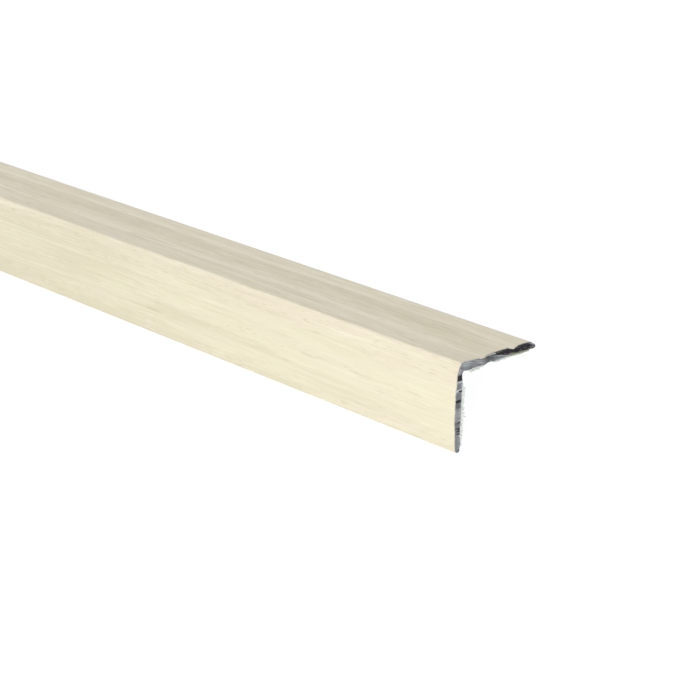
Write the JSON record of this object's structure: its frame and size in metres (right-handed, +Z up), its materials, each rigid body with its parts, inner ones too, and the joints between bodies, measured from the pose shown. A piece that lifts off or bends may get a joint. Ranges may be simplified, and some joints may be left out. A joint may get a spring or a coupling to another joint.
{
  "type": "corner guard moulding",
  "caption": "Length of equal-leg metal angle with a radiused outer corner and round leg tips, wrapped in pale wood-grain foil, for covering wall corners and step edges.",
  "frame": {"origin": "centre of the bounding box's bottom: on the floor, under the outer corner, halfway along the length", "axes": "+X along the length, towards the sawn end that is nearest in the picture; +Z up through the outer corner; the guard lies on its two leg tips"},
  "size_m": [1, 0.0344, 0.0184],
  "materials": {
    "bare_aluminium": "mill finish, freshly sawn at one end",
    "wood_grain_foil": "matt decor foil, pale whitewashed oak grain running lengthwise"
  },
  "bodies": {
    "root": {"aluminium_angle": "bare_aluminium", "wood_grain_foil": "wood_grain_foil"}
  },
  "joints": []
}
